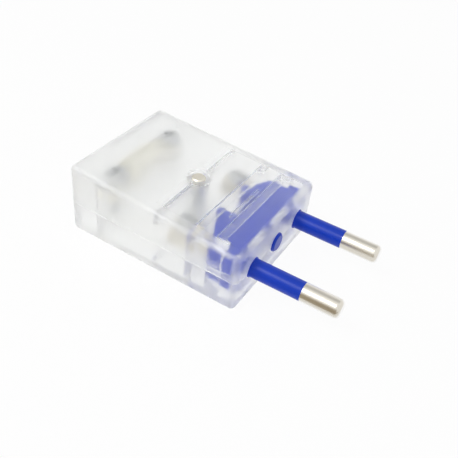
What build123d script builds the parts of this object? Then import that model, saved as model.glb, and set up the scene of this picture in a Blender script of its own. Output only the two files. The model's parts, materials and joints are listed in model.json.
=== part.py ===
from build123d import *
import os

# Two-pin plug with a clear case, in millimetres.
# The front face is at x = 0 and the pins point along +X. The pins and the parting line lie at z = 0.

# Case
case_length = 41.2
front_width = 32.0
rear_width = 30.8
roof_front = 6.3
roof_rear = 9.2
base_depth = 7.3
wall = 1.6
edge_radius = 1.2
inner_corner_radius = 0.9

# Lip of the lower half, which stands in a rebate of the upper half
lip_thickness = 0.7
lip_height = 1.0
lip_gap = 0.1

# Pins
pin_pitch = 19.0
pin_diameter = 4.0
pin_length = 19.0
pin_tip_radius = 1.0
neck_diameter = 3.0
pillar_diameter = 5.0
pillar_length = 5.8
pillar_gap = 0.25
wire_hole_diameter = 2.8
wire_hole_depth = 4.6

# Blue carrier with the sleeves and the blank stub
sleeve_diameter = 3.95
sleeve_root_diameter = 4.35
sleeve_length = 11.0
stub_diameter = 4.2
stub_projection = 0.5
stub_chamfer = 0.35
carrier_gap = 0.15
carrier_headroom = 0.2
carrier_side_gap = 0.25
carrier_side_cover = 1.8
carrier_edge = 0.3
flange_thickness = 2.5
flange_chamfer_width = 1.7
flange_chamfer_height = 1.5
flange_rim = 1.2
flange_recess = 2.0
pin_boss_diameter = 7.0
carrier_body_length = 5.9
lobe_length = 2.7
lobe_chamfer_length = 1.7
lobe_chamfer_width = 3.2
notch_width = 7.4
tab_width = 2.3
tab_length = 1.5
tab_radius = 0.8

# Ribs of both halves
column_width = 3.0
column_gap = 0.15
column_side_gap = 0.6
bearing_rib_width = 1.8
bearing_gap = 0.05
stop_rib_setback = 8.45
stop_rib_length = 11.4
stop_rib_thickness = 0.5
stop_rib_height = 0.45
frame_gap = 0.1
frame_thickness = 1.8
frame_leg = 1.4
frame_band_depth = 0.7
frame_opening_depth = 2.0
frame_opening_chamfer = 1.4
tab_slot_gap = 0.15
rear_frame_thickness = 1.95
rear_frame_leg = 1.2
rear_frame_chamfer = 0.6
rear_band_depth = 0.5
brace_thickness = 0.8
brace_depth = 1.8

# Centre boss, brass insert and case screw
boss_setback = 19.7
boss_diameter = 4.8
boss_joint = 0.5
lower_boss_diameter = 5.7
screw_boss_diameter = 8.4
screw_recess_depth = 3.0
screw_seat_thickness = 1.5
spotface_diameter = 4.6
spotface_depth = 0.55
insert_diameter = 3.0
insert_length = 2.4
insert_projection = 0.3
insert_end = 0.6
case_screw_diameter = 2.4
case_screw_head_diameter = 4.8
case_screw_head_height = 1.7
case_screw_engagement = 1.7
screw_hole_gap = 0.15
head_recess_gap = 0.3

# Cord inlet, clamp and clamp screws
cord_inlet_diameter = 7.0
cord_inlet_chamfer = 0.5
clamp_inset = 7.3
post_inset = 6.3
post_diameter = 5.6
pilot_depth = 5.2
clamp_width = 5.4
clamp_lug_thickness = 2.2
clamp_arch_diameter = 7.2
clamp_crown_rise = 1.8
clamp_crown_width = 8.4
clamp_crown_slope = 1.4
clamp_edge = 0.4
clamp_screw_diameter = 2.6
clamp_screw_length = 6.6
clamp_screw_hole_gap = 0.3
clamp_screw_head_diameter = 5.2
clamp_screw_head_height = 2.0
clamp_screw_headroom = 0.25

# Terminal screws and the drive recesses of all screws
terminal_screw_diameter = 2.5
terminal_screw_head_diameter = 4.4
terminal_screw_head_height = 1.2
terminal_screw_lift = 0.1
head_edge = 0.25
head_bevel = 0.5
drive_width = 0.8
drive_depth = 0.7

# Clearance of the pins and the stub in the front wall
pin_hole_gap = 0.1
stub_hole_gap = 0.1

# Reach of cutting and trimming blocks beyond the case
beyond = 20.0


def half_width(x):
    return front_width / 2 + (rear_width - front_width) / 2 * (-x / case_length)


def roof(x):
    return roof_front + (roof_rear - roof_front) * (-x / case_length)


def block(x_range, y_range, z_range):
    size = [high - low for low, high in (x_range, y_range, z_range)]
    corner = (x_range[0], y_range[0], z_range[0])
    return Pos(*corner) * Box(*size, align=(Align.MIN, Align.MIN, Align.MIN))


def rod_x(diameter, x_low, x_high, y=0.0):
    rod = Cylinder(diameter / 2, x_high - x_low, align=(Align.CENTER, Align.CENTER, Align.MIN))
    return Pos(x_low, y, 0) * Rot(0, 90, 0) * rod


def rod_z(diameter, z_low, z_high, x, y=0.0):
    rod = Cylinder(diameter / 2, z_high - z_low, align=(Align.CENTER, Align.CENTER, Align.MIN))
    return Pos(x, y, z_low) * rod


def plan(inset):
    front = -inset
    rear = inset - case_length
    front_half = half_width(front) - inset
    rear_half = half_width(rear) - inset
    corners = [(front, front_half), (rear, rear_half), (rear, -rear_half), (front, -front_half)]
    return make_face(Polyline(*corners, close=True))


def inner_plan(inset):
    face = plan(inset)
    return fillet(face.vertices(), inner_corner_radius)


def roof_block(outline, inset):
    # The space over the parting plane and under the sloping roof, drawn in on every side but the bottom
    front = -inset
    rear = inset - case_length
    corners = [(front, 0), (front, roof(front) - inset), (rear, roof(rear) - inset), (rear, 0)]
    side = make_face(Polyline(*corners, close=True))
    return extrude(outline, beyond) & extrude(Plane.XZ * side, front_width, both=True)


def base_block(outline, inset):
    return extrude(outline, inset - base_depth)


def round_outside(case_half, outer_face):
    return fillet(case_half.edges().filter_by(Axis.Z) + outer_face.edges(), edge_radius)


# Places along the case, from the front
carrier_front = -(wall + carrier_gap)
flange_rear = carrier_front - flange_thickness
body_rear = carrier_front - carrier_body_length
lobe_rear = body_rear - lobe_length
column_front = flange_rear - column_gap
column_rear = column_front - column_width
frame_front = lobe_rear - frame_gap
frame_rear = frame_front - frame_thickness
pillar_front = frame_rear - pillar_gap
pillar_rear = pillar_front - pillar_length
terminal_x = (pillar_front + pillar_rear) / 2
boss_x = -boss_setback
clamp_x = clamp_inset - case_length
pin_places = (-pin_pitch / 2, pin_pitch / 2)
post_y = half_width(clamp_x) - post_inset
post_places = (-post_y, post_y)

# Heights of what stands under the roof
carrier_top = roof(carrier_front) - wall - carrier_headroom
clamp_head_top = roof(clamp_x) - wall - rear_band_depth - clamp_screw_headroom
clamp_lug_top = clamp_head_top - clamp_screw_head_height
clamp_seat = clamp_lug_top - clamp_lug_thickness
terminal_head_top = pillar_diameter / 2 + terminal_screw_lift + terminal_screw_head_height
insert_top = roof(boss_x) - spotface_depth + insert_projection
insert_bottom = insert_top - insert_length
screw_seat = screw_recess_depth - base_depth
carrier_body_half = pin_pitch / 2 + carrier_side_cover
column_inner = carrier_body_half + column_side_gap
cavity_floor = wall - base_depth


def frame_plate(front, rear, z_low, z_high, leg, bevel, opening_edge, side):
    # Cross plate with a wide opening at the parting plane; side is +1 for the upper half and -1 for the lower
    inner = half_width(rear) - wall - leg
    outline = Polyline(
        (-inner, -side * beyond),
        (-inner, opening_edge - side * bevel),
        (bevel - inner, opening_edge),
        (inner - bevel, opening_edge),
        (inner, opening_edge - side * bevel),
        (inner, -side * beyond),
        close=True,
    )
    opening = extrude(Plane.YZ * make_face(outline), case_length, both=True)
    return block((rear, front), (-front_width, front_width), (z_low, z_high)) - opening


def tab_slots():
    low = notch_width / 2 - tab_slot_gap
    high = notch_width / 2 + tab_width + tab_slot_gap
    slots = [block((frame_rear, frame_front), (low, high), (-beyond, beyond))]
    slots.append(mirror(slots[0], Plane.XZ))
    return slots


def columns(z_low, z_high):
    column = block((column_rear, column_front), (column_inner, front_width), (z_low, z_high))
    return [column, mirror(column, Plane.XZ)]


def wall_holes():
    # Pin holes and stub hole through the front wall, cord inlet through the rear wall
    holes = [rod_x(sleeve_root_diameter + 2 * pin_hole_gap, -wall - lip_gap, wall, y) for y in pin_places]
    holes.append(rod_x(stub_diameter + 2 * stub_hole_gap, -wall - lip_gap, wall))
    holes.append(rod_x(cord_inlet_diameter, -case_length - wall, wall + lip_gap - case_length))
    mouth = Cone(
        cord_inlet_diameter / 2 + cord_inlet_chamfer,
        cord_inlet_diameter / 2,
        cord_inlet_chamfer,
        align=(Align.CENTER, Align.CENTER, Align.MIN),
    )
    holes.append(Pos(-case_length, 0, 0) * Rot(0, 90, 0) * mouth)
    return holes


def make_upper_shell():
    outside = roof_block(plan(0), 0)
    outside = round_outside(outside, outside.faces().sort_by(Axis.Z)[-1])
    cavity = roof_block(inner_plan(wall), wall)
    rebate = extrude(inner_plan(wall - lip_thickness - lip_gap), lip_height + lip_gap)
    limit = roof_block(plan(wall / 2), wall / 2)

    foot = lip_height + lip_gap
    sides = (-front_width, front_width)
    ribs = columns(foot, beyond)
    bearing_span = (column_rear, column_rear + bearing_rib_width)
    ribs.append(block(bearing_span, sides, (carrier_top + bearing_gap, beyond)))
    stop_half = stop_rib_length / 2
    stop_edge = roof(-stop_rib_setback) - wall - stop_rib_height
    stop_span = (-stop_rib_setback - stop_rib_thickness / 2, stop_rib_thickness / 2 - stop_rib_setback)
    ribs.append(block(stop_span, (-stop_half, stop_half), (stop_edge, beyond)))
    front_leg = (frame_leg, frame_opening_chamfer)
    front_edge = roof(frame_front) - wall - frame_band_depth
    ribs.append(frame_plate(frame_front, frame_rear, foot, beyond, *front_leg, front_edge, 1))
    rear_front = clamp_x + rear_frame_thickness / 2
    rear_edge = roof(clamp_x) - wall - rear_band_depth
    rear_rear = clamp_x - rear_frame_thickness / 2
    rear_leg = (rear_frame_leg, rear_frame_chamfer)
    ribs.append(frame_plate(rear_front, rear_rear, foot, beyond, *rear_leg, rear_edge, 1))
    brace_edge = roof(boss_x) - wall - brace_depth
    brace_span = (boss_x - brace_thickness / 2, boss_x + brace_thickness / 2)
    ribs.append(block(brace_span, sides, (brace_edge, beyond)))
    ribs.append(rod_z(boss_diameter, boss_joint, beyond, boss_x))

    shell = outside - cavity - rebate
    shell += [rib & limit for rib in ribs]
    shell -= rod_z(spotface_diameter, roof(boss_x) - spotface_depth, beyond, boss_x)
    shell -= rod_z(insert_diameter, insert_bottom, beyond, boss_x)
    shell -= rod_z(case_screw_diameter + 2 * screw_hole_gap, 0, insert_bottom, boss_x)
    return shell - wall_holes()


def make_lower_shell():
    outside = base_block(plan(0), 0)
    outside = round_outside(outside, outside.faces().sort_by(Axis.Z)[0])
    cavity = base_block(inner_plan(wall), wall)
    lip = extrude(inner_plan(wall - lip_thickness) - inner_plan(wall), lip_height)
    limit = base_block(plan(wall / 2), wall / 2)

    sides = (-front_width, front_width)
    ribs = columns(-beyond, 0)
    bearing_span = (column_rear, column_rear + bearing_rib_width)
    ribs.append(block(bearing_span, sides, (-beyond, -carrier_top)))
    front_leg = (frame_leg, frame_opening_chamfer)
    front_frame = frame_plate(frame_front, frame_rear, -beyond, 0, *front_leg, -frame_opening_depth, -1)
    ribs.append(front_frame - tab_slots())
    rear_span = (clamp_x - rear_frame_thickness / 2, clamp_x + rear_frame_thickness / 2)
    cord_saddle = rod_x(clamp_arch_diameter, rear_span[0], rear_span[1])
    ribs.append(block(rear_span, sides, (-beyond, 0)) - cord_saddle)
    brace_span = (boss_x - brace_thickness / 2, boss_x + brace_thickness / 2)
    ribs.append(block(brace_span, sides, (-beyond, cavity_floor + brace_depth)))

    shell = outside - cavity + lip
    shell += [rib & limit for rib in ribs]
    shell += rod_z(screw_boss_diameter, cavity_floor - wall / 2, screw_seat + screw_seat_thickness, boss_x)
    shell += rod_z(lower_boss_diameter, screw_seat, boss_joint, boss_x)
    shell += [rod_z(post_diameter, cavity_floor - wall / 2, clamp_seat, clamp_x, y) for y in post_places]
    shell -= rod_z(case_screw_head_diameter + 2 * head_recess_gap, -beyond, screw_seat, boss_x)
    shell -= rod_z(case_screw_diameter + 2 * screw_hole_gap, screw_seat, boss_joint, boss_x)
    pilot_bottom = clamp_seat - pilot_depth
    shell -= [rod_z(clamp_screw_diameter, pilot_bottom, clamp_seat, clamp_x, y) for y in post_places]
    return shell - wall_holes()


def make_contact_pin(y):
    # Turned pin: bare tip, neck inside the moulding, pillar with the wire hole
    pin = rod_x(pin_diameter, sleeve_length, pin_length, y)
    pin = fillet(pin.edges().sort_by(Axis.X)[-1], pin_tip_radius)
    pin += rod_x(neck_diameter, pillar_front, sleeve_length, y)
    pin += rod_x(pillar_diameter, pillar_rear, pillar_front, y)
    pin -= rod_x(wire_hole_diameter, pillar_rear, pillar_rear + wire_hole_depth, y)
    return pin - rod_z(terminal_screw_diameter, 0, pillar_diameter, terminal_x, y)


def make_pin_carrier(pins):
    body_half = carrier_body_half
    notch_half = notch_width / 2
    side = [
        (carrier_front, body_half),
        (lobe_rear + lobe_chamfer_length, body_half),
        (lobe_rear, body_half - lobe_chamfer_width),
        (lobe_rear, notch_half),
        (body_rear, notch_half),
    ]
    side += [(x, -y) for x, y in reversed(side)]
    carrier = extrude(make_face(Polyline(*side, close=True)), carrier_top, both=True)
    carrier = chamfer(carrier.faces().filter_by(Axis.Z).edges(), carrier_edge)

    flange_half = half_width(flange_rear) - wall - carrier_side_gap
    top_half = flange_half - flange_chamfer_width
    side_edge = carrier_top - flange_chamfer_height
    corners = [
        (top_half, carrier_top),
        (flange_half, side_edge),
        (flange_half, -side_edge),
        (top_half, -carrier_top),
    ]
    corners += [(-y, z) for y, z in reversed(corners)]
    section = make_face(Polyline(*corners, close=True))
    flange = extrude(Plane.YZ.offset(flange_rear) * section, flange_thickness)
    carrier += chamfer(flange.faces().sort_by(Axis.X)[-1].edges(), carrier_edge)
    opening = offset(section, -flange_rim, kind=Kind.INTERSECTION)
    carrier -= extrude(Plane.YZ.offset(carrier_front - flange_recess) * opening, flange_recess)

    carrier += [rod_x(pin_boss_diameter, carrier_front - flange_recess, carrier_front, y) for y in pin_places]
    carrier += [rod_x(sleeve_root_diameter, carrier_front, 0, y) for y in pin_places]
    carrier += [rod_x(sleeve_diameter, 0, sleeve_length, y) for y in pin_places]
    stub = rod_x(stub_diameter, carrier_front - flange_recess, stub_projection)
    carrier += chamfer(stub.edges().sort_by(Axis.X)[-1], stub_chamfer)
    tab_sides = (notch_half, notch_half + tab_width)
    tab = block((lobe_rear - tab_length, body_rear), tab_sides, (-carrier_top, carrier_top))
    tab = fillet(tab.edges().filter_by(Axis.Z).sort_by(Axis.X)[:2], tab_radius)
    carrier += [tab, mirror(tab, Plane.XZ)]
    return carrier - pins


def drive_cross(x, y, z, length, both):
    # Recess for a screwdriver, centred on the head's outer face at height z
    reach = length / 2
    width = drive_width / 2
    depth = (z - drive_depth, z + drive_depth)
    cross = [block((x - reach, x + reach), (y - width, y + width), depth)]
    if both:
        cross.append(block((x - width, x + width), (y - reach, y + reach), depth))
    return cross


def make_threaded_insert():
    insert = rod_z(insert_diameter, insert_bottom, insert_top, boss_x)
    insert = chamfer(insert.edges().sort_by(Axis.Z)[-1], head_edge)
    return insert - rod_z(case_screw_diameter, insert_bottom, insert_top - insert_end, boss_x)


def make_case_screw():
    head_bottom = screw_seat - case_screw_head_height
    head = rod_z(case_screw_head_diameter, head_bottom, screw_seat, boss_x)
    head = chamfer(head.edges().sort_by(Axis.Z)[0], head_bevel)
    screw = head + rod_z(case_screw_diameter, screw_seat, insert_bottom + case_screw_engagement, boss_x)
    return screw - drive_cross(boss_x, 0, head_bottom, case_screw_head_diameter / 2, True)


def make_terminal_screw(y):
    head_bottom = terminal_head_top - terminal_screw_head_height
    head = rod_z(terminal_screw_head_diameter, head_bottom, terminal_head_top, terminal_x, y)
    head = chamfer(head.edges().sort_by(Axis.Z)[-1], head_edge)
    screw = head + rod_z(terminal_screw_diameter, 0, head_bottom, terminal_x, y)
    return screw - drive_cross(terminal_x, y, terminal_head_top, terminal_screw_head_diameter, False)


def make_cord_clamp():
    end = post_y + clamp_width / 2
    crown_half = clamp_crown_width / 2
    crown_top = clamp_lug_top + clamp_crown_rise
    side = [
        (end, clamp_seat),
        (end, clamp_lug_top),
        (crown_half + clamp_crown_slope, clamp_lug_top),
        (crown_half, crown_top),
    ]
    side += [(-y, z) for y, z in reversed(side)]
    section = make_face(Polyline(*side, close=True))
    clamp = extrude(Plane.YZ.offset(clamp_x) * section, clamp_width / 2, both=True)
    clamp &= Pos(clamp_x, 0, 0) * extrude(SlotOverall(2 * end, clamp_width, rotation=90), beyond)
    clamp = chamfer(clamp.faces().sort_by(Axis.Z)[-1].edges(), clamp_edge)
    clamp -= rod_x(clamp_arch_diameter, clamp_x - clamp_width, clamp_x + clamp_width)
    hole = clamp_screw_diameter + 2 * clamp_screw_hole_gap
    return clamp - [rod_z(hole, 0, beyond, clamp_x, y) for y in post_places]


def make_clamp_screw(y):
    head = rod_z(clamp_screw_head_diameter, clamp_lug_top, clamp_head_top, clamp_x, y)
    head = chamfer(head.edges().sort_by(Axis.Z)[-1], head_bevel)
    screw = head + rod_z(clamp_screw_diameter, clamp_lug_top - clamp_screw_length, clamp_lug_top, clamp_x, y)
    return screw - drive_cross(clamp_x, y, clamp_head_top, clamp_screw_head_diameter / 2, True)


left_pin, right_pin = [make_contact_pin(y) for y in pin_places]
left_terminal_screw, right_terminal_screw = [make_terminal_screw(y) for y in pin_places]
left_clamp_screw, right_clamp_screw = [make_clamp_screw(y) for y in post_places]

parts = {
    "upper_shell": make_upper_shell(),
    "lower_shell": make_lower_shell(),
    "pin_carrier": make_pin_carrier([left_pin, right_pin]),
    "left_contact_pin": left_pin,
    "right_contact_pin": right_pin,
    "left_terminal_screw": left_terminal_screw,
    "right_terminal_screw": right_terminal_screw,
    "threaded_insert": make_threaded_insert(),
    "case_screw": make_case_screw(),
    "cord_clamp": make_cord_clamp(),
    "left_clamp_screw": left_clamp_screw,
    "right_clamp_screw": right_clamp_screw,
}

os.makedirs("parts", exist_ok=True)
for name, part in parts.items():
    export_step(part.solid(), os.path.join("parts", name + ".step"))
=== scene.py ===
import json
import math
import bmesh
import bpy
from mathutils import Matrix, Vector


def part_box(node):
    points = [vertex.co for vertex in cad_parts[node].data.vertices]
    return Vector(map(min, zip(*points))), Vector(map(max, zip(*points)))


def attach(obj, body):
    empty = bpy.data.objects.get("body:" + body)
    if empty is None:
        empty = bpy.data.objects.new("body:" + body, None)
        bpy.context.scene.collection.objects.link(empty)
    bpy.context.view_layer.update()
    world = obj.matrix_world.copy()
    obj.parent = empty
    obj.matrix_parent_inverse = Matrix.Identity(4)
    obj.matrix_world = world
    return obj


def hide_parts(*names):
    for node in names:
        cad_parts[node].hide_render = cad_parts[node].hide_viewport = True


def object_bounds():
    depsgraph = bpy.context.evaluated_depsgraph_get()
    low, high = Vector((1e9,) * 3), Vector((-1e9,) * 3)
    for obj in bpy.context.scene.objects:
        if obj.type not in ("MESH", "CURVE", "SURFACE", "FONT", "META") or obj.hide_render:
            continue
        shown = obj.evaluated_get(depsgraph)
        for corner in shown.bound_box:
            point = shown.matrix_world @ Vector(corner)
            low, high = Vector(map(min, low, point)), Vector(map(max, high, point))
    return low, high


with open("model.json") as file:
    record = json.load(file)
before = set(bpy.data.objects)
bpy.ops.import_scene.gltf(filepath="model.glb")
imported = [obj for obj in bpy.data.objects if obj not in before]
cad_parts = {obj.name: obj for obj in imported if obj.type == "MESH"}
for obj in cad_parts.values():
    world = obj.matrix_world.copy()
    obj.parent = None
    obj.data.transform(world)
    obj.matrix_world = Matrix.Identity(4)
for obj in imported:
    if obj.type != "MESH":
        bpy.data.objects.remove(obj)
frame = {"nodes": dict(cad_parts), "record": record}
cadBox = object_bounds()
nodes = frame["nodes"]
subparts = frame["record"]["subparts"]
scene = bpy.context.scene
mm = 0.001
white = (1, 1, 1, 1)
print("frame loaded:", len(nodes), "nodes")


# helpers for shader trees

def blankMaterial(name):
    material = bpy.data.materials.new(name)
    material.use_nodes = True
    tree = material.node_tree
    tree.nodes.clear()
    return material, tree, tree.nodes.new("ShaderNodeOutputMaterial")


def newMaterial(name):
    material, tree, out = blankMaterial(name)
    shader = tree.nodes.new("ShaderNodeBsdfPrincipled")
    tree.links.new(shader.outputs["BSDF"], out.inputs["Surface"])
    return material, tree, shader


def feed(tree, socket, value):
    if isinstance(value, bpy.types.NodeSocket):
        tree.links.new(value, socket)
    else:
        socket.default_value = value


def calc(tree, operation, *values):
    node = tree.nodes.new("ShaderNodeMath")
    node.operation = operation
    for socket, value in zip(node.inputs, values):
        feed(tree, socket, value)
    return node.outputs[0]


def fold(tree, operation, values):
    total = values[0]
    for value in values[1:]:
        total = calc(tree, operation, total, value)
    return total


def place(tree, scale=(1, 1, 1)):
    coords = tree.nodes.new("ShaderNodeTexCoord")
    mapping = tree.nodes.new("ShaderNodeMapping")
    mapping.inputs["Scale"].default_value = scale
    tree.links.new(coords.outputs["Object"], mapping.inputs["Vector"])
    return mapping.outputs["Vector"]


def split(tree, vector):
    node = tree.nodes.new("ShaderNodeSeparateXYZ")
    tree.links.new(vector, node.inputs[0])
    return node.outputs[0], node.outputs[1], node.outputs[2]


def noise(tree, vector, size, detail=2.0):
    node = tree.nodes.new("ShaderNodeTexNoise")
    node.inputs["Scale"].default_value = 1 / size  # size of the blotches, in metres
    node.inputs["Detail"].default_value = detail
    tree.links.new(vector, node.inputs["Vector"])
    return node.outputs["Fac"]


def spread(tree, factor, low, high, start=0.3, end=0.7):
    # start and end suit a noise, which seldom goes past them
    node = tree.nodes.new("ShaderNodeMapRange")
    node.inputs["From Min"].default_value = start
    node.inputs["From Max"].default_value = end
    node.inputs["To Min"].default_value = low
    node.inputs["To Max"].default_value = high
    tree.links.new(factor, node.inputs["Value"])
    return node.outputs["Result"]


def blendColour(tree, factor, first, second):
    node = tree.nodes.new("ShaderNodeMix")
    node.data_type = "RGBA"
    feed(tree, node.inputs["Factor"], factor)
    for socket, value in ((node.inputs[6], first), (node.inputs[7], second)):
        feed(tree, socket, value)
    return node.outputs[2]


def bump(tree, shader, height, depth, strength):
    node = tree.nodes.new("ShaderNodeBump")
    node.inputs["Distance"].default_value = depth
    node.inputs["Strength"].default_value = strength
    tree.links.new(height, node.inputs["Height"])
    tree.links.new(node.outputs["Normal"], shader.inputs["Normal"])


def seenRay(tree):
    # 1 for rays that show the background: from the camera, off metal and through the clear case
    path = tree.nodes.new("ShaderNodeLightPath")
    kinds = ("Is Camera Ray", "Is Glossy Ray", "Is Transmission Ray")
    return fold(tree, "MAXIMUM", [path.outputs[kind] for kind in kinds])


# clear case

caseSizes = {
    "frontHalf": 16 * mm,
    "sideTaper": 0.6 * mm,  # over the whole length
    "roofFront": 6.3 * mm,
    "roofRise": 2.9 * mm,  # over the whole length
    "base": 7.3 * mm,
    "length": 41.2 * mm,
    "outside": 0.9 * mm,  # surfaces nearer to the outside than this belong to it
    "colour": (0.972, 0.976, 0.972, 1),
    "passes": 0.98,  # share of the light that goes through
    "ior": 1.5,
    "roughness": (0.285, 0.33),
    "flowMarks": 4 * mm,
    "edge": 1.6 * mm,  # handled edges are a little dull
    "edgeDull": 0.1,
    "edgeFrom": 0.02,
    "edgeFull": 0.6,
    "polish": 0.1,  # how much smoother the polished part of the roof is
    "polishFrom": -21.2 * mm,  # the roof is polished ahead of this, duller behind
    "polishMargin": 2.6 * mm,  # and no nearer to the sides than this
    "boss": -19.7 * mm,
    "bossDull": 3.0 * mm,  # nor to the middle of the boss
    "ribsFrom": 1.64 * mm,  # the ribs under the roof and walls are the roughest
    "ribsTo": 2.6 * mm,
    "ribsDull": 0.3,
    "innerDull": 0.03,
    "clampDull": 0.34,  # over the clamp the underside of the roof is rougher
    "clampFrom": -26 * mm,
    "clampFull": -31 * mm,
    "grain": 0.3 * mm,
    "grainDepth": 0.002 * mm,
    "grainStrength": 0.4,
}


def insideFaces(tree, x, y, z):
    # distances in from the roof, sides, base, front and rear of the case
    rise = caseSizes["roofRise"] / caseSizes["length"]
    taper = caseSizes["sideTaper"] / caseSizes["length"]
    roof = calc(tree, "MULTIPLY_ADD", x, -rise, caseSizes["roofFront"])
    side = calc(tree, "MULTIPLY_ADD", x, taper, caseSizes["frontHalf"])
    return (
        calc(tree, "SUBTRACT", roof, z),
        calc(tree, "SUBTRACT", side, calc(tree, "ABSOLUTE", y)),
        calc(tree, "ADD", z, caseSizes["base"]),
        calc(tree, "MULTIPLY", x, -1),
        calc(tree, "ADD", x, caseSizes["length"]),
    )


def roofPolish(tree, x, y, roofGap, sideGap, edges):
    # 1 where the roof is polished
    offBoss = calc(tree, "SUBTRACT", x, caseSizes["boss"])
    bossGap = fold(tree, "ADD", [calc(tree, "POWER", value, 2) for value in (offBoss, y)])
    return fold(tree, "MULTIPLY", [
        calc(tree, "GREATER_THAN", x, caseSizes["polishFrom"]),
        calc(tree, "GREATER_THAN", sideGap, caseSizes["polishMargin"]),
        calc(tree, "GREATER_THAN", bossGap, caseSizes["bossDull"] ** 2),
        calc(tree, "LESS_THAN", roofGap, caseSizes["outside"]),
        calc(tree, "LESS_THAN", edges, caseSizes["edgeFrom"]),
    ])


def innerFrost(tree, x, roofGap, depth, marks):
    # what the inner faces add to the roughness
    under = calc(tree, "LESS_THAN", roofGap, caseSizes["ribsTo"])
    overClamp = spread(tree, x, caseSizes["clampDull"], 0, caseSizes["clampFull"], caseSizes["clampFrom"])
    frost = calc(tree, "MULTIPLY_ADD", under, overClamp, spread(tree, marks, 0, caseSizes["innerDull"]))
    return calc(tree, "MULTIPLY", calc(tree, "GREATER_THAN", depth, caseSizes["outside"]), frost)


def clearCase():
    material, tree, shader = newMaterial("clearCase")
    shader.inputs["Base Color"].default_value = caseSizes["colour"]
    shader.inputs["Transmission Weight"].default_value = caseSizes["passes"]
    shader.inputs["IOR"].default_value = caseSizes["ior"]
    where = place(tree)
    x, y, z = split(tree, where)
    gaps = insideFaces(tree, x, y, z)
    depth = fold(tree, "MINIMUM", gaps)
    marks = noise(tree, where, caseSizes["flowMarks"], detail=4)
    close = [spread(tree, gap, 1, 0, 0, caseSizes["edge"]) for gap in gaps]
    edges = calc(tree, "SUBTRACT", fold(tree, "ADD", close), fold(tree, "MAXIMUM", close))
    polish = roofPolish(tree, x, y, gaps[0], gaps[1], edges)
    past = calc(tree, "GREATER_THAN", depth, caseSizes["ribsFrom"])
    ribs = calc(tree, "MULTIPLY", past, calc(tree, "LESS_THAN", depth, caseSizes["ribsTo"]))
    rough = fold(tree, "ADD", [
        spread(tree, marks, *caseSizes["roughness"]),
        calc(tree, "MULTIPLY", polish, -caseSizes["polish"]),
        spread(tree, edges, 0, caseSizes["edgeDull"], caseSizes["edgeFrom"], caseSizes["edgeFull"]),
        innerFrost(tree, x, gaps[0], depth, marks),
        calc(tree, "MULTIPLY", ribs, caseSizes["ribsDull"]),
    ])
    tree.links.new(rough, shader.inputs["Roughness"])
    grain = noise(tree, where, caseSizes["grain"])
    bump(tree, shader, grain, caseSizes["grainDepth"], caseSizes["grainStrength"])
    return material


# blue carrier

blueSizes = {
    "dark": (0.002, 0.039, 0.5, 1),
    "light": (0.006, 0.058, 0.59, 1),
    "clouds": 2.5 * mm,
    "roughness": (0.285, 0.35),
    "ior": 1.5,
    "shine": 0.3,
    "grain": 0.12 * mm,
    "grainDepth": 0.003 * mm,
    "grainStrength": 0.3,
    "ribFront": -5.6 * mm,  # where a rib of the case bears on the top
    "ribRear": -7.4 * mm,
    "ribTop": 4.2 * mm,
    # painted highlight: colour and strength of the pale patches along the bearing rib
    "paintedShine": 0.7 * mm,
    "paintedShineColour": (0.6, 0.63, 0.7, 1),
    "paintedShineMost": 0.45,
    "paintedShineFrom": 0.42,
    "paintedShineFull": 0.68,
}


def paintedRibShine(tree, where):
    # painted highlight: pale patches along the rib of the case that bears on the top, standing in for a
    # silvery highlight there
    x, _, z = split(tree, where)
    band = fold(tree, "MULTIPLY", [
        calc(tree, "GREATER_THAN", z, blueSizes["ribTop"]),
        calc(tree, "GREATER_THAN", x, blueSizes["ribRear"]),
        calc(tree, "LESS_THAN", x, blueSizes["ribFront"]),
    ])
    patches = noise(tree, where, blueSizes["paintedShine"], detail=3)
    paintedShineMask = spread(tree, patches, 0, blueSizes["paintedShineMost"], blueSizes["paintedShineFrom"], blueSizes["paintedShineFull"])
    return calc(tree, "MULTIPLY", band, paintedShineMask)


def bluePlastic():
    material, tree, shader = newMaterial("bluePlastic")
    where = place(tree)
    clouds = noise(tree, where, blueSizes["clouds"], detail=3)
    shade = blendColour(tree, clouds, blueSizes["dark"], blueSizes["light"])
    # painted highlight: pale patches blended in along the bearing rib
    shade = blendColour(tree, paintedRibShine(tree, where), shade, blueSizes["paintedShineColour"])
    tree.links.new(shade, shader.inputs["Base Color"])
    tree.links.new(spread(tree, clouds, *blueSizes["roughness"]), shader.inputs["Roughness"])
    shader.inputs["IOR"].default_value = blueSizes["ior"]
    shader.inputs["Specular IOR Level"].default_value = blueSizes["shine"]
    grain = noise(tree, where, blueSizes["grain"])
    bump(tree, shader, grain, blueSizes["grainDepth"], blueSizes["grainStrength"])
    return material


# plated pins

nickelSizes = {
    "dark": (0.7, 0.665, 0.59, 1),
    "light": (0.77, 0.735, 0.66, 1),
    "stain": 2 * mm,
    "roughness": (0.28, 0.31),
    "lines": 0.05 * mm,
    "linesScale": (1, 0.03, 0.03),
    "linesDepth": 0.0006 * mm,
    "linesStrength": 0.2,
    "paintedGlare": 0.9,  # painted reflection: share of white blended into the base colour at grazing angles, standing in for the pale floor mirrored at the sides
    "paintedGlareFrom": 0.4,
    "paintedGlareFull": 0.75,
}


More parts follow.
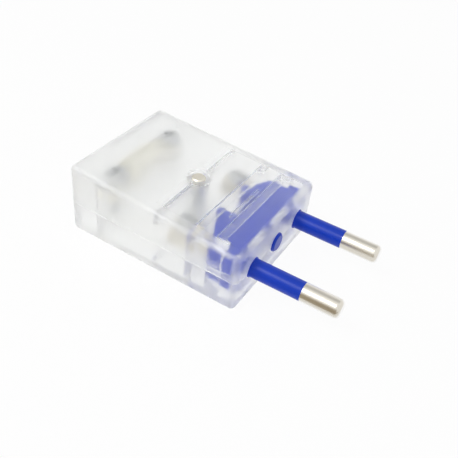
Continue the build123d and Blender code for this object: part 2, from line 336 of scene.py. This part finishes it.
def nickelPlate():
    sizes = nickelSizes
    material, tree, shader = newMaterial("nickelPlate")
    lines = noise(tree, place(tree, sizes["linesScale"]), sizes["lines"])
    stain = noise(tree, place(tree), sizes["stain"], detail=3)
    shade = blendColour(tree, stain, sizes["dark"], sizes["light"])
    # painted reflection: the base colour is blended towards white where the surface is seen at a grazing
    # angle
    facing = tree.nodes.new("ShaderNodeLayerWeight").outputs["Facing"]
    glare = spread(tree, facing, 0, sizes["paintedGlare"], sizes["paintedGlareFrom"], sizes["paintedGlareFull"])
    tree.links.new(blendColour(tree, glare, shade, white), shader.inputs["Base Color"])
    shader.inputs["Metallic"].default_value = 1.0
    tree.links.new(spread(tree, lines, *sizes["roughness"]), shader.inputs["Roughness"])
    bump(tree, shader, lines, sizes["linesDepth"], sizes["linesStrength"])
    return material


# turned metal of the screws and the insert

turnedSizes = {
    "screwSteel": {
        "dark": (0.56, 0.57, 0.58, 1), "light": (0.7, 0.71, 0.71, 1), "roughness": (0.24, 0.36),
    },
    "insertBrass": {
        "dark": (0.74, 0.7, 0.6, 1), "light": (0.84, 0.81, 0.73, 1), "roughness": (0.36, 0.48),
    },
    "stain": 1.2 * mm,
    "lines": 0.08 * mm,
    "linesScale": (0.05, 0.05, 1),
    "linesDepth": 0.003 * mm,
    "linesStrength": 0.3,
}


def turnedMetal(name):
    look = turnedSizes[name]
    material, tree, shader = newMaterial(name)
    lines = noise(tree, place(tree, turnedSizes["linesScale"]), turnedSizes["lines"])
    stain = noise(tree, place(tree), turnedSizes["stain"], detail=3)
    tree.links.new(blendColour(tree, stain, look["dark"], look["light"]), shader.inputs["Base Color"])
    shader.inputs["Metallic"].default_value = 1.0
    tree.links.new(spread(tree, stain, *look["roughness"]), shader.inputs["Roughness"])
    bump(tree, shader, lines, turnedSizes["linesDepth"], turnedSizes["linesStrength"])
    return material


# cream clamp

creamSizes = {
    "dark": (0.84, 0.81, 0.7, 1),
    "light": (0.9, 0.88, 0.79, 1),
    "clouds": 1.8 * mm,
    "roughness": (0.4, 0.5),
    "grain": 0.1 * mm,
    "grainDepth": 0.004 * mm,
    "grainStrength": 0.4,
}


def creamPlastic():
    material, tree, shader = newMaterial("creamPlastic")
    where = place(tree)
    clouds = noise(tree, where, creamSizes["clouds"], detail=3)
    shade = blendColour(tree, clouds, creamSizes["dark"], creamSizes["light"])
    tree.links.new(shade, shader.inputs["Base Color"])
    tree.links.new(spread(tree, clouds, *creamSizes["roughness"]), shader.inputs["Roughness"])
    grain = noise(tree, where, creamSizes["grain"])
    bump(tree, shader, grain, creamSizes["grainDepth"], creamSizes["grainStrength"])
    return material


finishes = {
    "clear_case": clearCase(),
    "blue_plastic": bluePlastic(),
    "nickel_plate": nickelPlate(),
    "screw_steel": turnedMetal("screwSteel"),
    "insert_brass": turnedMetal("insertBrass"),
    "cream_plastic": creamPlastic(),
}
for part in subparts:
    mesh = nodes[part["node"]].data
    mesh.materials.clear()
    mesh.materials.append(finishes[part["material_slot"]])
print("finishes on all nodes")


# mesh helpers

meshSizes = {"merge": 0.0005 * mm, "sharp": math.radians(25), "flatWeight": 100}


def mergeClose(mesh):
    form = bmesh.new()
    form.from_mesh(mesh)
    bmesh.ops.remove_doubles(form, verts=form.verts, dist=meshSizes["merge"])
    form.to_mesh(mesh)
    form.free()


def nodeCopy(name, node):
    # merged copy of a node's mesh, without the normals of the loose triangles
    mesh = nodes[node].data.copy()
    mesh.name = name
    if "custom_normal" in mesh.attributes:
        mesh.attributes.remove(mesh.attributes["custom_normal"])
    mergeClose(mesh)
    return mesh


def addObject(name, data):
    thing = bpy.data.objects.new(name, data)
    scene.collection.objects.link(thing)
    return thing


def bake(piece):
    # modifiers become plain mesh
    graph = bpy.context.evaluated_depsgraph_get()
    mesh = bpy.data.meshes.new_from_object(piece.evaluated_get(graph))
    mesh.name = piece.name
    piece.modifiers.clear()
    piece.data = mesh


def tidyShading(piece):
    # flat faces stay flat beside round edges
    piece.data.shade_smooth()
    piece.data.set_sharp_from_angle(angle=meshSizes["sharp"])
    flatten = piece.modifiers.new("flatten", "WEIGHTED_NORMAL")
    flatten.weight = meshSizes["flatWeight"]
    flatten.keep_sharp = True
    bake(piece)


def standFor(piece, node):
    slot = next(part["material_slot"] for part in subparts if part["node"] == node)
    piece.data.materials.clear()
    piece.data.materials.append(finishes[slot])
    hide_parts(node)
    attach(piece, "root")


def lathe(profile, steps):
    # closed turned shape about Z from (radius, height) points, first and last on the axis
    form = bmesh.new()
    turns = [2 * math.pi * step / steps for step in range(steps)]
    rings = []
    for radius, height in profile:
        points = [(radius * math.cos(t), radius * math.sin(t), height) for t in turns]
        rings.append([form.verts.new(point) for point in (points if radius else [(0, 0, height)])])
    for low, high in zip(rings, rings[1:]):
        for step in range(steps):
            after = (step + 1) % steps
            corners = [low[step % len(low)], low[after % len(low)]]
            corners += [high[after % len(high)], high[step % len(high)]]
            form.faces.new(list(dict.fromkeys(corners)))  # a triangle beside the axis
    bmesh.ops.recalc_face_normals(form, faces=form.faces)
    mesh = bpy.data.meshes.new("turned")
    form.to_mesh(mesh)
    form.free()
    return mesh


def joinMeshes(name, meshes):
    form = bmesh.new()
    for mesh in meshes:
        form.from_mesh(mesh)
    whole = bpy.data.meshes.new(name)
    form.to_mesh(whole)
    form.free()
    return whole


# helpers for geometry trees

def startTree(name, inputs):
    # empty tree with named inputs for its sizes and one for its finish
    tree = bpy.data.node_groups.new(name, "GeometryNodeTree")
    tree.interface.new_socket("Geometry", in_out="OUTPUT", socket_type="NodeSocketGeometry")
    tree.interface.new_socket("Geometry", in_out="INPUT", socket_type="NodeSocketGeometry")
    for label, kind in inputs.items():
        tree.interface.new_socket(label, in_out="INPUT", socket_type="NodeSocket" + kind)
    tree.interface.new_socket("Finish", in_out="INPUT", socket_type="NodeSocketMaterial")
    return tree, tree.nodes.new("NodeGroupInput")


def endTree(tree, given, geometry):
    real = tree.nodes.new("GeometryNodeRealizeInstances")
    finish = tree.nodes.new("GeometryNodeSetMaterial")
    out = tree.nodes.new("NodeGroupOutput")
    tree.links.new(geometry, real.inputs["Geometry"])
    tree.links.new(real.outputs["Geometry"], finish.inputs["Geometry"])
    tree.links.new(given.outputs["Finish"], finish.inputs["Material"])
    tree.links.new(finish.outputs["Geometry"], out.inputs["Geometry"])


def grown(name, tree, values):
    # plain mesh from a node tree, its inputs set by their identifiers
    piece = addObject(name, bpy.data.meshes.new(name))
    grow = piece.modifiers.new("grow", "NODES")
    grow.node_group = tree
    for item in tree.interface.items_tree:
        if item.in_out == "INPUT" and item.name in values:
            grow[item.identifier] = values[item.name]
    bake(piece)
    mesh = piece.data
    bpy.data.objects.remove(piece)
    return mesh


# moulded pieces with softened edges

mouldedSizes = {
    "flat": math.radians(0.2),
    "case": {"edge": 0.18 * mm, "steps": 3, "corner": math.radians(50)},
    "inner": {"edge": 0.07 * mm, "steps": 2, "corner": math.radians(40)},
    "air": 0.015 * mm,  # the case halves are set a hair apart, so that light finds air between them
}


def softMoulding(name, node, kind, lift=0):
    sizes = mouldedSizes[kind]
    mesh = nodeCopy(name, node)
    mesh.transform(Matrix.Translation((0, 0, lift)))
    form = bmesh.new()
    form.from_mesh(mesh)
    bmesh.ops.dissolve_limit(form, angle_limit=mouldedSizes["flat"], verts=form.verts, edges=form.edges)
    form.to_mesh(mesh)
    form.free()
    piece = addObject(name, mesh)
    rounding = piece.modifiers.new("rounding", "BEVEL")
    rounding.width = sizes["edge"]
    rounding.segments = sizes["steps"]
    rounding.limit_method = "ANGLE"
    rounding.angle_limit = sizes["corner"]
    bake(piece)
    tidyShading(piece)
    standFor(piece, node)


softMoulding("upperHalf", "upper_shell", "case", mouldedSizes["air"])
softMoulding("lowerHalf", "lower_shell", "case", -mouldedSizes["air"])
softMoulding("pinCarrier", "pin_carrier", "inner")
softMoulding("cordClamp", "cord_clamp", "inner")
print("moulded pieces")


# screws: turned head and core, driver recess, and a thread that winds round the core

screwSizes = {
    "clamp": {
        "shank": 2.6 * mm, "head": 2.0 * mm, "dome": 0.75 * mm, "pitch": 0.9 * mm, "thread": 0.26 * mm,
        "point": 0.9 * mm, "slots": 2, "slotWidth": 0.7 * mm, "slotDepth": 1.0 * mm, "slotReach": 2.7 * mm,
    },
    "terminal": {
        "shank": 2.5 * mm, "head": 1.2 * mm, "dome": 0.25 * mm, "pitch": 0.45 * mm, "thread": 0.16 * mm,
        "point": 0.25 * mm, "slots": 1, "slotWidth": 0.74 * mm, "slotDepth": 0.7 * mm, "slotReach": 6.0 * mm,
    },
    "case": {
        "shank": 2.4 * mm, "head": 1.7 * mm, "dome": 0.6 * mm, "pitch": 0.5 * mm, "thread": 0.17 * mm,
        "point": 0.3 * mm, "slots": 2, "slotWidth": 0.7 * mm, "slotDepth": 0.85 * mm, "slotReach": 2.5 * mm,
    },
    "tip": 0.5,  # width of the point's end as a share of the core's
    "runOut": 0.35 * mm,  # plain part under the head
    "round": 48,
    "domeSteps": 6,
    "turnSteps": 28,
    "ridgeCorners": 4,
}


def threadTree():
    tree, given = startTree("screwThread", dict.fromkeys(("Radius", "Turns", "Length", "Ridge"), "Float"))
    spiral = tree.nodes.new("GeometryNodeCurveSpiral")
    spiral.inputs["Resolution"].default_value = screwSizes["turnSteps"]
    tree.links.new(given.outputs["Turns"], spiral.inputs["Rotations"])
    tree.links.new(given.outputs["Radius"], spiral.inputs["Start Radius"])
    tree.links.new(given.outputs["Radius"], spiral.inputs["End Radius"])
    tree.links.new(given.outputs["Length"], spiral.inputs["Height"])
    upright = tree.nodes.new("GeometryNodeSetCurveNormal")
    upright.mode = "Z_UP"
    tree.links.new(spiral.outputs["Curve"], upright.inputs["Curve"])
    ridge = tree.nodes.new("GeometryNodeCurvePrimitiveCircle")
    ridge.inputs["Resolution"].default_value = screwSizes["ridgeCorners"]
    tree.links.new(given.outputs["Ridge"], ridge.inputs["Radius"])
    sweep = tree.nodes.new("GeometryNodeCurveToMesh")
    sweep.inputs["Fill Caps"].default_value = True
    tree.links.new(upright.outputs["Curve"], sweep.inputs["Curve"])
    tree.links.new(ridge.outputs["Curve"], sweep.inputs["Profile Curve"])
    endTree(tree, given, sweep.outputs["Mesh"])
    return tree


def driverCutter(sizes):
    # one slot, or two slots crossing, as one closed prism round height 0
    reach, half, depth = sizes["slotReach"] / 2, sizes["slotWidth"] / 2, sizes["slotDepth"]
    if sizes["slots"] == 1:
        outline = [(-reach, -half), (reach, -half), (reach, half), (-reach, half)]
    else:
        arm = [(reach, -half), (reach, half), (half, half)]
        outline = []
        for quarter in range(4):
            cosine, sine = math.cos(math.pi / 2 * quarter), math.sin(math.pi / 2 * quarter)
            outline += [(cosine * x - sine * y, sine * x + cosine * y) for x, y in arm]
    form = bmesh.new()
    bottom = form.faces.new([form.verts.new((x, y, -depth)) for x, y in outline])
    pulled = bmesh.ops.extrude_face_region(form, geom=[bottom])
    raised = [item for item in pulled["geom"] if isinstance(item, bmesh.types.BMVert)]
    bmesh.ops.translate(form, verts=raised, vec=(0, 0, 2 * depth))
    bmesh.ops.recalc_face_normals(form, faces=form.faces)
    mesh = bpy.data.meshes.new("driver")
    form.to_mesh(mesh)
    form.free()
    return mesh


def cutRecess(body, sizes):
    driver = addObject("driver", driverCutter(sizes))
    cut = body.modifiers.new("cut", "BOOLEAN")
    cut.object = driver
    bake(body)
    mergeClose(body.data)
    bpy.data.objects.remove(driver)


def screwProfile(sizes, core, headRadius, total):
    # from the point up to the middle of the head, whose top is at height 0
    dome, steps = sizes["dome"], screwSizes["domeSteps"]
    bends = [math.pi / 2 * step / steps for step in range(steps + 1)]
    point = [(0, -total), (core * screwSizes["tip"], -total), (core, sizes["point"] - total)]
    shoulder = [(core, -sizes["head"]), (headRadius, -sizes["head"])]
    crown = [(headRadius - dome * (1 - math.cos(t)), dome * (math.sin(t) - 1)) for t in bends]
    return point + shoulder + crown + [(0, 0)]


def makeScrew(name, node, kind, winder):
    sizes = screwSizes[kind]
    low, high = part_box(node)
    total = high.z - low.z
    core = sizes["shank"] / 2 - sizes["thread"]
    profile = screwProfile(sizes, core, (high.x - low.x) / 2, total)
    body = addObject(name, lathe(profile, screwSizes["round"]))
    cutRecess(body, sizes)
    start = sizes["point"] / 2 - total
    length = -start - sizes["head"] - screwSizes["runOut"]
    winding = grown("winding", winder, {
        "Radius": core, "Turns": length / sizes["pitch"], "Length": length,
        "Ridge": sizes["thread"], "Finish": finishes["screw_steel"],
    })
    winding.transform(Matrix.Translation((0, 0, start)))
    body.data = joinMeshes(name, [body.data, winding])
    upsideDown = kind == "case"  # its head is underneath
    turn = Matrix.Rotation(math.pi, 4, "X") if upsideDown else Matrix.Identity(4)
    top = low.z if upsideDown else high.z
    centre = ((low.x + high.x) / 2, (low.y + high.y) / 2, top)
    body.data.transform(Matrix.Translation(centre) @ turn)
    tidyShading(body)
    standFor(body, node)


threadWinder = threadTree()
makeScrew("leftClampScrew", "left_clamp_screw", "clamp", threadWinder)
makeScrew("rightClampScrew", "right_clamp_screw", "clamp", threadWinder)
makeScrew("leftTerminalScrew", "left_terminal_screw", "terminal", threadWinder)
makeScrew("rightTerminalScrew", "right_terminal_screw", "terminal", threadWinder)
makeScrew("caseScrew", "case_screw", "case", threadWinder)
print("screws")


# knurled insert in the centre boss

insertSizes = {
    "bore": 1.2 * mm,
    "end": 0.6 * mm,
    "edge": 0.25 * mm,
    "round": 64,
    "bars": 26,
    "barWidth": 0.2 * mm,
    "barDepth": 0.12 * mm,
    "bite": 0.03 * mm,  # the bars bite into the boss
    "barFrom": 0.3 * mm,
    "barTo": 1.7 * mm,
    "ringSteps": 104,
}


def knurlTree():
    tree, given = startTree("knurl", {"Radius": "Float", "Bars": "Int", "Bar Size": "Vector"})
    ring = tree.nodes.new("GeometryNodeCurvePrimitiveCircle")
    ring.inputs["Resolution"].default_value = insertSizes["ringSteps"]
    tree.links.new(given.outputs["Radius"], ring.inputs["Radius"])
    points = tree.nodes.new("GeometryNodeCurveToPoints")
    tree.links.new(ring.outputs["Curve"], points.inputs["Curve"])
    tree.links.new(given.outputs["Bars"], points.inputs["Count"])
    spot = tree.nodes.new("GeometryNodeInputPosition")
    turn = tree.nodes.new("FunctionNodeAlignRotationToVector")
    turn.axis = "X"
    turn.pivot_axis = "Z"
    tree.links.new(spot.outputs["Position"], turn.inputs["Vector"])
    bar = tree.nodes.new("GeometryNodeMeshCube")
    tree.links.new(given.outputs["Bar Size"], bar.inputs["Size"])
    copies = tree.nodes.new("GeometryNodeInstanceOnPoints")
    tree.links.new(points.outputs["Points"], copies.inputs["Points"])
    tree.links.new(bar.outputs["Mesh"], copies.inputs["Instance"])
    tree.links.new(turn.outputs["Rotation"], copies.inputs["Rotation"])
    endTree(tree, given, copies.outputs["Instances"])
    return tree


def makeInsert():
    sizes = insertSizes
    low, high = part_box("threaded_insert")
    radius, height = (high.x - low.x) / 2, high.z - low.z
    bore, boreTop, edge = sizes["bore"], height - sizes["end"], sizes["edge"]
    profile = [(0, boreTop), (bore, boreTop), (bore, 0), (radius, 0)]
    profile += [(radius, height - edge), (radius - edge, height), (0, height)]
    barHeight = sizes["barTo"] - sizes["barFrom"]
    bars = grown("bars", knurlTree(), {
        "Radius": radius + sizes["bite"] - sizes["barDepth"] / 2, "Bars": sizes["bars"],
        "Bar Size": (sizes["barDepth"], sizes["barWidth"], barHeight), "Finish": finishes["insert_brass"],
    })
    bars.transform(Matrix.Translation((0, 0, sizes["barFrom"] + barHeight / 2)))
    mesh = joinMeshes("threadedInsert", [lathe(profile, sizes["round"]), bars])
    mesh.transform(Matrix.Translation(((low.x + high.x) / 2, (low.y + high.y) / 2, low.z)))
    insert = addObject("threadedInsert", mesh)
    tidyShading(insert)
    standFor(insert, "threaded_insert")


makeInsert()
print("insert")


# floor, reflector cards, background and lamp

def sheet(name, corners, material):
    mesh = bpy.data.meshes.new(name)
    mesh.from_pydata(corners, [], [(0, 1, 2, 3)])
    mesh.materials.append(material)
    piece = addObject(name, mesh)
    return piece


def levelCorners(left, right, near, far, height):
    return [(left, near, height), (right, near, height), (right, far, height), (left, far, height)]


floorSizes = {
    "half": 0.6,
    "gap": 0.08 * mm,
    "colour": (0.95, 0.95, 0.95, 1),
    "roughness": 0.9,
    "seenWhite": 0.95,  # the rest of what is seen is the lit floor, with the shadow
    "throughWhite": 0.9,
}


def makeFloor():
    sizes = floorSizes
    material, tree, out = blankMaterial("paleFloor")
    matte = tree.nodes.new("ShaderNodeBsdfPrincipled")
    matte.inputs["Base Color"].default_value = sizes["colour"]
    matte.inputs["Roughness"].default_value = sizes["roughness"]
    matte.inputs["Specular IOR Level"].default_value = 0.0
    glow = tree.nodes.new("ShaderNodeEmission")
    through = tree.nodes.new("ShaderNodeLightPath").outputs["Is Transmission Ray"]
    change = sizes["throughWhite"] - sizes["seenWhite"]
    share = calc(tree, "MULTIPLY_ADD", through, change, sizes["seenWhite"])
    mix = tree.nodes.new("ShaderNodeMixShader")
    tree.links.new(calc(tree, "MULTIPLY", seenRay(tree), share), mix.inputs["Fac"])
    tree.links.new(matte.outputs[0], mix.inputs[1])
    tree.links.new(glow.outputs[0], mix.inputs[2])
    tree.links.new(mix.outputs[0], out.inputs["Surface"])
    half = sizes["half"]
    sheet("floor", levelCorners(-half, half, -half, half, cadBox[0].z - sizes["gap"]), material)


cardSizes = {
    "warm": (0.4, 0.34, 0.25, 1),
    "left": -120 * mm,
    "right": 60 * mm,
    "pins": -22 * mm,  # the flat part starts in front of the pins
    "bend": -70 * mm,  # and turns up here
    "low": -7.2 * mm,
    "high": 26 * mm,
    "grey": (0.6, 0.6, 0.59, 1),  # overhead, what the roof mirrors
    "greyLeft": -300 * mm,
    "greyRight": 100 * mm,
    "greyNear": 58 * mm,
    "greyFar": 357 * mm,
    "greyHeight": 300 * mm,
}


def glowCard(name, colour, corners):
    # rays through the clear case that still meet a card find it white, as the background is
    material, tree, out = blankMaterial(name)
    glow = tree.nodes.new("ShaderNodeEmission")
    through = tree.nodes.new("ShaderNodeLightPath").outputs["Is Transmission Ray"]
    tree.links.new(blendColour(tree, through, colour, white), glow.inputs["Color"])
    tree.links.new(glow.outputs[0], out.inputs["Surface"])
    card = sheet(name, corners, material)
    card.visible_camera = False  # only reflections show the cards
    card.visible_diffuse = False
    card.visible_transmission = False
    card.visible_shadow = False


def makeCards():
    sizes = cardSizes
    left, right, bend, low, high = (sizes[key] for key in ("left", "right", "bend", "low", "high"))
    glowCard("warmFlat", sizes["warm"], levelCorners(left, right, bend, sizes["pins"], low))
    upright = [(left, bend, low), (right, bend, low), (right, bend, high), (left, bend, high)]
    glowCard("warmUpright", sizes["warm"], upright)
    reach = (sizes[key] for key in ("greyLeft", "greyRight", "greyNear", "greyFar", "greyHeight"))
    glowCard("greyOverhead", sizes["grey"], levelCorners(*reach))


worldLevels = {"seen": 1.0, "light": 0.55}


def makeWorld():
    world = bpy.data.worlds.new("studio")
    scene.world = world
    world.use_nodes = True
    tree = world.node_tree
    tree.nodes.clear()
    out = tree.nodes.new("ShaderNodeOutputWorld")
    back = tree.nodes.new("ShaderNodeBackground")
    back.inputs["Color"].default_value = white
    change = worldLevels["seen"] - worldLevels["light"]
    strength = calc(tree, "MULTIPLY_ADD", seenRay(tree), change, worldLevels["light"])
    tree.links.new(strength, back.inputs["Strength"])
    tree.links.new(back.outputs[0], out.inputs["Surface"])


lampSizes = {"place": (-0.14, -0.2, 0.32), "side": 0.17, "power": 0.5}


def makeLamp():
    data = bpy.data.lights.new("softKey", "AREA")
    data.size = lampSizes["side"]
    data.energy = lampSizes["power"]
    lamp = addObject("softKey", data)
    lamp.visible_transmission = False  # no sparks through the case
    lamp.location = lampSizes["place"]
    lamp.rotation_mode = "QUATERNION"
    lamp.rotation_quaternion = (-Vector(lampSizes["place"])).to_track_quat("-Z", "Y")


makeFloor()
makeCards()
makeWorld()
makeLamp()
print("floor, cards, background and lamp")


# camera at the photograph's viewing angle

cameraSizes = {
    "place": (36.03 * mm, -93.07 * mm, 84.04 * mm),
    "azimuth": math.radians(26.883),
    "elevation": math.radians(39.619),
    "roll": math.radians(7.267),
    "focalPixels": 634.53,
    "framePixels": 458,
    "sensor": 36.0,
    "nearest": 5 * mm,
}


def makeCamera():
    sizes = cameraSizes
    azimuth, elevation = sizes["azimuth"], sizes["elevation"]
    back = Vector((
        math.sin(azimuth) * math.cos(elevation),
        -math.cos(azimuth) * math.cos(elevation),
        math.sin(elevation),
    ))
    right = Matrix.Rotation(sizes["roll"], 3, back) @ Vector((math.cos(azimuth), math.sin(azimuth), 0))
    up = back.cross(right)
    data = bpy.data.cameras.new("camera")
    data.sensor_width = sizes["sensor"]
    data.lens = sizes["focalPixels"] / sizes["framePixels"] * sizes["sensor"]
    data.clip_start = sizes["nearest"]
    camera = addObject("camera", data)
    basis = Matrix((right, up, back)).transposed().to_4x4()
    camera.matrix_world = Matrix.Translation(sizes["place"]) @ basis
    scene.camera = camera


lightPaths = {"clear": 32, "other": 12}  # light passes many clear walls

makeCamera()
scene.view_settings.view_transform = "Standard"
scene.cycles.max_bounces = lightPaths["clear"]
scene.cycles.transmission_bounces = lightPaths["clear"]
scene.cycles.glossy_bounces = lightPaths["other"]
scene.cycles.diffuse_bounces = lightPaths["other"]
scene.cycles.blur_glossy = 0.0  # mirrored light is not smoothed
print("camera in place")
